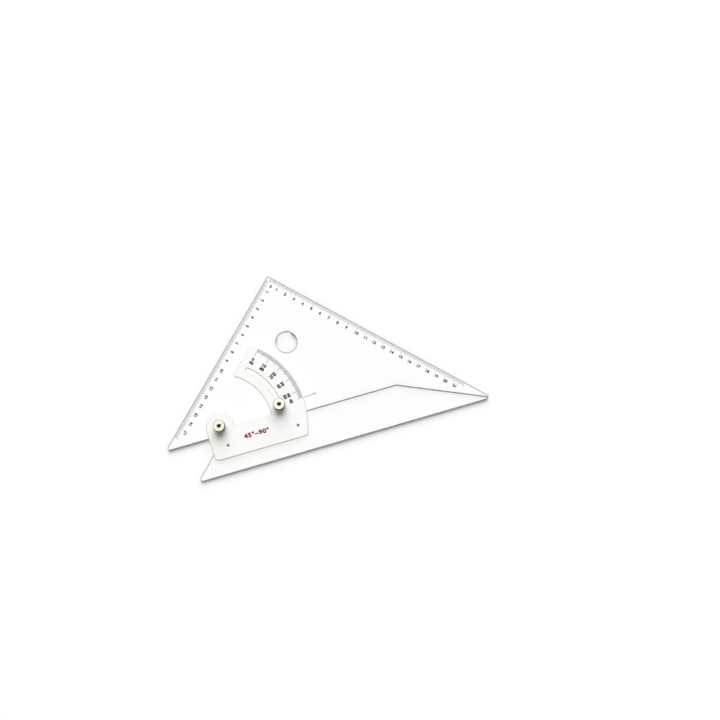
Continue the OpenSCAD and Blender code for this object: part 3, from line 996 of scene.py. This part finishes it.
class SETSQUARE_OT_pins(bpy.types.Operator):
    """Makes the two bracket pins with their low domed heads"""
    bl_idname = "setsquare.pins"
    bl_label = "Bracket pins"

    def execute(self, context):
        settings = context.scene.set_square_hardware
        steel = machined_steel("dull_steel", settings.pin, settings.pin_dull)
        rise = np.linspace(0, pi / 2, 9)[:-1]
        for node in ("lower_bracket_pin", "upper_bracket_pin"):
            low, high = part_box(node)
            centre = np.array((low + high).xy) / 2
            foot, top, head_r = turned_box(node)
            dome_h = top - BRACKET_TOP
            dome = [(head_r * cos(t), BRACKET_TOP + dome_h * sin(t)) for t in rise]
            shank = [(settings.pin_shank_r, foot), (settings.pin_shank_r, BRACKET_TOP)]
            profile = np.array([(0, foot), *shank, *dome, (0, top)])
            mesh = pole_mesh(f"{node}_headed", revolved(profile, centre, PIN_SIDES))
            put_turned(node, "headed", mesh, ROUNDED_SHARP, steel, "blade")
        return {"FINISHED"}


# ---------------- stage

def unit_vector(azimuth, height):
    """Unit vector of an azimuth and a height angle."""
    return Vector((cos(height) * cos(azimuth), cos(height) * sin(azimuth), sin(height)))


def put_floor(settings):
    """A wide pale sheet just under the part."""
    corners = np.array([[-1, -1, 0], [1, -1, 0], [1, 1, 0], [-1, 1, 0]]) * FLOOR_REACH
    mesh = mesh_from("floor", corners + [0, 0, CAD_BOX[0].z - FLOOR_GAP], [[0, 1, 2, 3]])
    mesh.materials.append(pale_floor("pale_floor", settings.floor, settings.floor_lift))
    floor = bpy.data.objects.new("floor", mesh)
    bpy.context.scene.collection.objects.link(floor)


def put_lights(settings):
    """Even surroundings, which are white where they are seen, and one soft key lamp."""
    world = bpy.data.worlds.new("surroundings")
    bpy.context.scene.world = world
    world.use_nodes = True
    tree = world.node_tree
    tree.nodes.clear()
    level = add(tree, "ShaderNodeMapRange",
                {"Value": seeing_rays(tree), "To Min": settings.sky, "To Max": 1.0}).outputs["Result"]
    sky = add(tree, "ShaderNodeBackground", {"Color": (1, 1, 1, 1), "Strength": level})
    add(tree, "ShaderNodeOutputWorld", {"Surface": sky.outputs[0]})
    lamp = bpy.data.lights.new("key", "SUN")
    lamp.energy = settings.key
    lamp.angle = settings.key_spread
    key = bpy.data.objects.new("key", lamp)
    bpy.context.scene.collection.objects.link(key)
    toward = unit_vector(settings.key_azimuth, settings.key_height)
    key.rotation_euler = toward.to_track_quat("Z", "Y").to_euler()


def put_camera(settings):
    """Looks at the target from a direction and a distance, turned about its own view."""
    back = unit_vector(settings.azimuth, settings.elevation)
    right = Vector((0, 0, 1)).cross(back).normalized()
    up = back.cross(right)
    across = cos(settings.roll) * right + sin(settings.roll) * up
    upward = cos(settings.roll) * up - sin(settings.roll) * right
    target = Vector((CORNER[0] + settings.target_x, CORNER[1] + settings.target_y, 0))
    lens = bpy.data.cameras.new("camera")
    lens.sensor_width = 36
    lens.lens = settings.lens
    camera = bpy.data.objects.new("camera", lens)
    bpy.context.scene.collection.objects.link(camera)
    turn = Matrix((across, upward, back)).transposed().to_4x4()
    camera.matrix_world = Matrix.Translation(target + back * settings.distance) @ turn
    bpy.context.scene.camera = camera


class SETSQUARE_OT_stage(bpy.types.Operator):
    """Sets the floor, the soft light and the camera at the photograph's angle"""
    bl_idname = "setsquare.stage"
    bl_label = "Stage"

    def execute(self, context):
        settings = context.scene.set_square_stage
        put_floor(settings)
        put_lights(settings)
        put_camera(settings)
        context.scene.view_settings.view_transform = "Standard"
        return {"FINISHED"}


# ---------------- add-on

STEPS = (SETSQUARE_OT_stage, SETSQUARE_OT_plates, SETSQUARE_OT_bracket, SETSQUARE_OT_leg_scales,
         SETSQUARE_OT_angle_scale, SETSQUARE_OT_range_mark, SETSQUARE_OT_index_line, SETSQUARE_OT_nuts,
         SETSQUARE_OT_screws, SETSQUARE_OT_washers, SETSQUARE_OT_pins)
SETTINGS = {"set_square_sheets": SetSquareSheets, "set_square_print": SetSquarePrint,
            "set_square_hardware": SetSquareHardware, "set_square_stage": SetSquareStage}


class SETSQUARE_PT_panel(bpy.types.Panel):
    """Lists the pieces of the set square in the sidebar"""
    bl_idname = "SETSQUARE_PT_panel"
    bl_label = "Set square"
    bl_space_type = "VIEW_3D"
    bl_region_type = "UI"
    bl_category = "Set square"

    def draw(self, context):
        for step in STEPS:
            self.layout.operator(step.bl_idname)


def register():
    for kind in (*SETTINGS.values(), *STEPS, SETSQUARE_PT_panel):
        bpy.utils.register_class(kind)
    for name, kind in SETTINGS.items():
        setattr(bpy.types.Scene, name, PointerProperty(type=kind))


def unregister():
    for name in SETTINGS:
        delattr(bpy.types.Scene, name)
    for kind in reversed((*SETTINGS.values(), *STEPS, SETSQUARE_PT_panel)):
        bpy.utils.unregister_class(kind)


def main():
    register()
    for step in STEPS:
        family, name = step.bl_idname.split(".")
        getattr(getattr(bpy.ops, family), name)()


if __name__ == "__main__":
    main()
